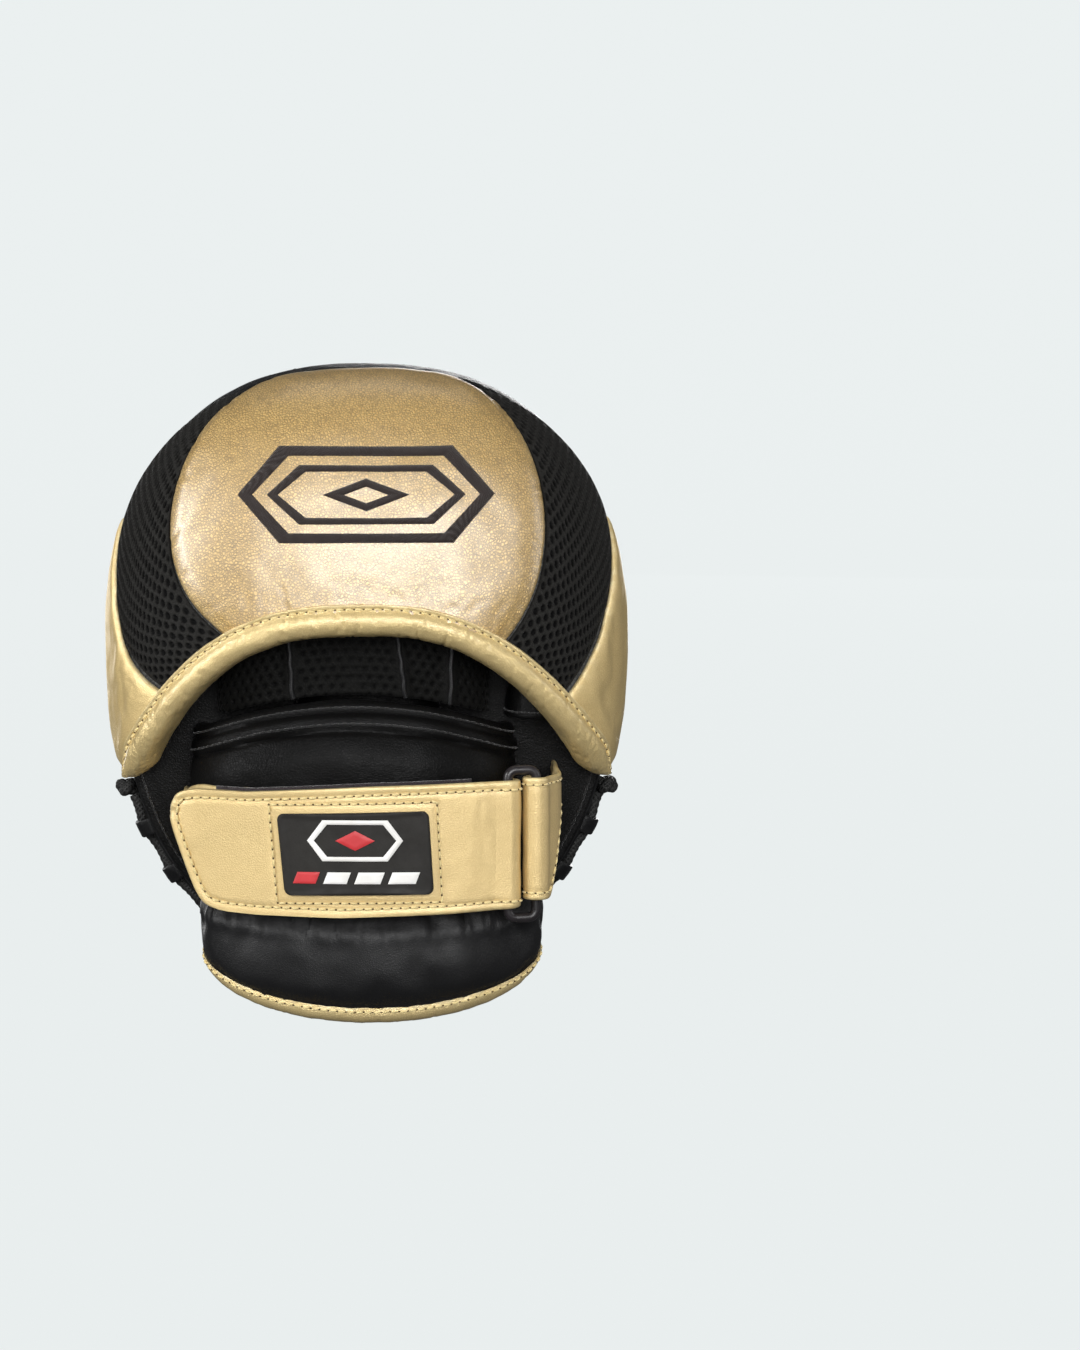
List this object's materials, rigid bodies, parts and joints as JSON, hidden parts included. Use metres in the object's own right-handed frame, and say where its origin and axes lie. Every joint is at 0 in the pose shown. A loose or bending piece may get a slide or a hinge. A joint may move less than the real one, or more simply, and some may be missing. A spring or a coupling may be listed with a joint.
{
  "type": "focus mitt",
  "caption": "Padded hand target for boxing practice: round strike pad with a printed target, hood over the fingers, hand pocket, padded wrist cuff and hook-and-loop strap.",
  "frame": {"origin": "middle of the hand pocket, between the palm grip and the back-of-hand pad", "axes": "+Z to the finger tips, +Y out of the strike face, +X to the thumb side"},
  "size_m": [0.191, 0.0956, 0.2376],
  "materials": {
    "face_leather": "metallic grained leather",
    "hood_leather": "metallic grained leather",
    "binding_leather": "metallic leather",
    "strap_leather": "satin metallic leather",
    "black_leather": "smooth black leather",
    "mesh_fabric": "spacer mesh",
    "tape": "hook and loop tape",
    "cord": "braided cord",
    "ring_plastic": "moulded plastic",
    "patch_rubber": "moulded rubber",
    "foam": "closed-cell foam",
    "board": "stiffener",
    "print_black": "printed film",
    "print_white": "printed film",
    "label": "woven label",
    "thread": "embroidery thread"
  },
  "bodies": {
    "mitt": {"back_of_hand_pad": "black_leather", "backing_board": "board", "core_foam": "foam", "face_bar_1": "print_white", "face_bar_2": "print_black", "face_bar_3": "print_black", "face_motif": "print_black", "face_welt": "black_leather", "finger_sleeve": "mesh_fabric", "hood_binding": "binding_leather", "hood_centre_panel": "hood_leather", "hood_emblem_core": "thread", "hood_emblem_frame": "thread", "hood_emblem_line": "thread", "hood_liner": "mesh_fabric", "hood_mesh_left": "mesh_fabric", "hood_mesh_right": "mesh_fabric", "hood_padding": "foam", "hood_side_left": "hood_leather", "hood_side_right": "hood_leather", "impact_foam": "foam", "lace": "cord", "lace_knot_left": "cord", "lace_knot_right": "cord", "lace_loop_01": "black_leather", "lace_loop_02": "black_leather", "lace_loop_03": "black_leather", "lace_loop_04": "black_leather", "lace_loop_05": "black_leather", "lace_loop_06": "black_leather", "lace_loop_07": "black_leather", "lace_loop_08": "black_leather", "lace_loop_09": "black_leather", "lace_loop_10": "black_leather", "lace_loop_11": "black_leather", "loop_tape": "tape", "lower_wall": "black_leather", "palm_ball": "black_leather", "rear_panel": "black_leather", "ring_tab": "strap_leather", "size_label": "label", "strap_base": "strap_leather", "strike_cover": "face_leather", "target_disc": "print_black", "target_ring_inner": "print_white", "target_ring_middle": "print_white", "target_ring_outer": "print_white", "thumb_stall": "black_leather", "upper_wall": "black_leather", "wall_joint_left": "black_leather", "wall_joint_right": "black_leather"},
    "ring": {"strap_ring": "ring_plastic"},
    "flap": {"strap_flap": "strap_leather", "hook_tape": "tape", "strap_patch": "patch_rubber"},
    "cuff": {"cuff_pad": "black_leather", "cuff_binding": "binding_leather"}
  },
  "joints": [
    {"name": "ring_swing", "type": "hinge", "parent": "mitt", "child": "ring", "pos_m": [0.0607, -0.0315, -0.0339], "axis": [0, 0, 1], "range_deg": [0, 10]},
    {"name": "strap_peel", "type": "hinge", "parent": "ring", "child": "flap", "pos_m": [0.0505, -0.0335, -0.03415], "axis": [0, 0, 1], "range_deg": [0, 105]},
    {"name": "cuff_flex", "type": "hinge", "parent": "mitt", "child": "cuff", "pos_m": [0, -0.031, -0.055], "axis": [-1, 0, 0], "range_deg": [0, 12], "stiffness_Nm_per_rad": 0.4}
  ]
}
